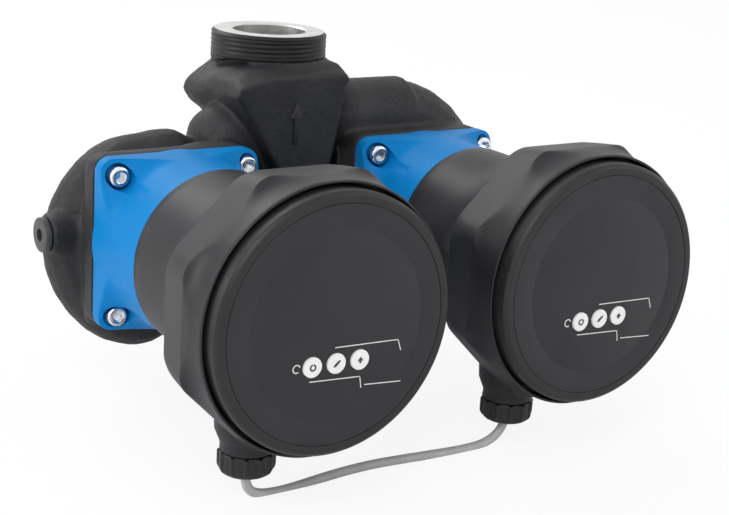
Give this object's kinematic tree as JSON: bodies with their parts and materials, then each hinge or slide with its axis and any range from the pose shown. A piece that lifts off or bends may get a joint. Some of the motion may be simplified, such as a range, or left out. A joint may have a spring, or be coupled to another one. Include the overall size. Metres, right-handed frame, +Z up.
{
  "type": "twin-head in-line circulation pump",
  "caption": "Twin-head in-line heating circulator: black cast body with two threaded ports, a changeover flap, two blue wet-rotor motors and black electronic controllers joined by a link cable.",
  "frame": {"origin": "centre of the lower (inlet) port face, on the axis that both ports share", "axes": "+Z up along the port axis from the inlet to the outlet; +X towards the right head as seen from the front; the motors and controllers point along -Y"},
  "size_m": [0.271, 0.2483, 0.1846],
  "materials": {
    "cast_black": "cataphoretic black coating on a sand-cast surface",
    "motor_blue": "smooth bright blue paint",
    "zinc_steel": "zinc plated",
    "plain_steel": "bright drawn",
    "plug_black": "black paint",
    "seal_black": "matte",
    "seal_grey": "matte",
    "flap_rubber": "matte rubber over a steel core",
    "carbon": "machined carbon",
    "bronze": "turned",
    "lamination": "stacked electrical steel",
    "copper": "enamelled copper wire",
    "rotor_grey": "ground",
    "composite_cream": "moulded composite",
    "shell_black": "fine satin texture",
    "face_black": "satin printed foil",
    "button_white": "satin",
    "board_green": "solder resist",
    "nut_black": "moulded",
    "cable_grey": "smooth light grey sheath"
  },
  "bodies": {
    "fixed": {"pump_body": "cast_black", "flap_pin": "plain_steel", "flap_pin_plug": "plain_steel", "casing_plugs": "plug_black", "link_cable": "cable_grey", "left_motor_housing": "motor_blue", "left_flange_screws": "zinc_steel", "left_flange_gasket": "seal_black", "left_bearing_plate": "plain_steel", "left_front_bearing": "carbon", "left_rear_bearing": "carbon", "left_neck_ring": "bronze", "left_rotor_can": "plain_steel", "left_stator_core": "lamination", "left_stator_coils": "copper", "left_controller_housing": "shell_black", "left_power_board": "board_green", "left_key_board": "board_green", "left_cover_seal": "seal_black", "left_front_cover": "shell_black", "left_face_panel": "face_black", "left_gland_seal": "seal_grey", "left_gland_nut": "nut_black", "right_motor_housing": "motor_blue", "right_flange_screws": "zinc_steel", "right_flange_gasket": "seal_black", "right_bearing_plate": "plain_steel", "right_front_bearing": "carbon", "right_rear_bearing": "carbon", "right_neck_ring": "bronze", "right_rotor_can": "plain_steel", "right_stator_core": "lamination", "right_stator_coils": "copper", "right_controller_housing": "shell_black", "right_power_board": "board_green", "right_key_board": "board_green", "right_cover_seal": "seal_black", "right_front_cover": "shell_black", "right_face_panel": "face_black", "right_gland_seal": "seal_grey", "right_gland_nut": "nut_black"},
    "flap": {"changeover_flap": "flap_rubber"},
    "left_rotating": {"left_rotor_shaft": "plain_steel", "left_rotor": "rotor_grey", "left_impeller": "composite_cream"},
    "left_key_1": {"left_button_1": "button_white"},
    "left_key_2": {"left_button_2": "button_white"},
    "left_key_3": {"left_button_3": "button_white"},
    "right_rotating": {"right_rotor_shaft": "plain_steel", "right_rotor": "rotor_grey", "right_impeller": "composite_cream"},
    "right_key_1": {"right_button_1": "button_white"},
    "right_key_2": {"right_button_2": "button_white"},
    "right_key_3": {"right_button_3": "button_white"}
  },
  "joints": [
    {"name": "flap_swing", "type": "hinge", "parent": "fixed", "child": "flap", "pos_m": [0.00331, -0.008, 0.11726], "axis": [0, 1, 0], "range_deg": [0, 44.5]},
    {"name": "left_rotor_spin", "type": "hinge", "parent": "fixed", "child": "left_rotating", "pos_m": [-0.073, -0.02, 0.0875], "axis": [0, -1, 0], "continuous": true},
    {"name": "left_button_1_press", "type": "slide", "parent": "fixed", "child": "left_key_1", "axis": [0, 1, 0], "range_m": [0, 0.0006], "stiffness_N_per_m": 800, "springref_m": -0.0005},
    {"name": "left_button_2_press", "type": "slide", "parent": "fixed", "child": "left_key_2", "axis": [0, 1, 0], "range_m": [0, 0.0006], "stiffness_N_per_m": 800, "springref_m": -0.0005},
    {"name": "left_button_3_press", "type": "slide", "parent": "fixed", "child": "left_key_3", "axis": [0, 1, 0], "range_m": [0, 0.0006], "stiffness_N_per_m": 800, "springref_m": -0.0005},
    {"name": "right_rotor_spin", "type": "hinge", "parent": "fixed", "child": "right_rotating", "pos_m": [0.073, -0.02, 0.0875], "axis": [0, -1, 0], "continuous": true},
    {"name": "right_button_1_press", "type": "slide", "parent": "fixed", "child": "right_key_1", "axis": [0, 1, 0], "range_m": [0, 0.0006], "stiffness_N_per_m": 800, "springref_m": -0.0005},
    {"name": "right_button_2_press", "type": "slide", "parent": "fixed", "child": "right_key_2", "axis": [0, 1, 0], "range_m": [0, 0.0006], "stiffness_N_per_m": 800, "springref_m": -0.0005},
    {"name": "right_button_3_press", "type": "slide", "parent": "fixed", "child": "right_key_3", "axis": [0, 1, 0], "range_m": [0, 0.0006], "stiffness_N_per_m": 800, "springref_m": -0.0005}
  ]
}
